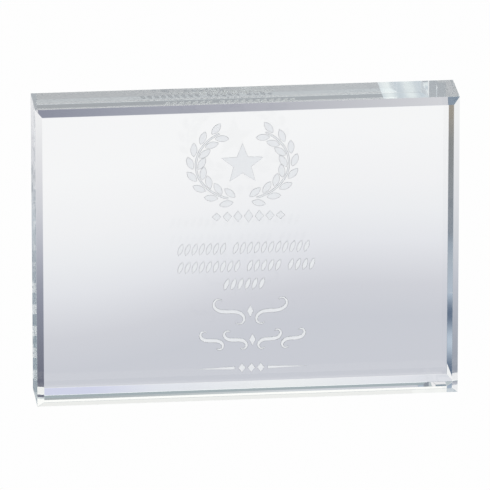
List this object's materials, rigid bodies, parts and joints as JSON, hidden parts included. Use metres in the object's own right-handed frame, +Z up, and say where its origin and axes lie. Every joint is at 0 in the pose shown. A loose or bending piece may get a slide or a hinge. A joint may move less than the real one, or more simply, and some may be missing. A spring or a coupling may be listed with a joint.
{
  "type": "crystal award block",
  "caption": "Upright rectangular block of clear optical crystal with chamfered front and back edges and frosted artwork cut into its front face.",
  "frame": {"origin": "centre of the bottom face, on the surface that the block stands on", "axes": "+Z up, +X along the width towards the viewer's right, and the engraved front face looks along -Y"},
  "size_m": [0.152, 0.024, 0.112],
  "materials": {
    "optical_crystal": "ground and polished optical crystal, clear",
    "frosted_cut": "sandblasted, frosted white"
  },
  "bodies": {
    "root": {"crystal_block": "optical_crystal", "engraved_emblem": "frosted_cut", "engraved_gem_row": "frosted_cut", "engraved_title_bands": "frosted_cut", "engraved_scrolls": "frosted_cut", "engraved_date_row": "frosted_cut"}
  },
  "joints": []
}
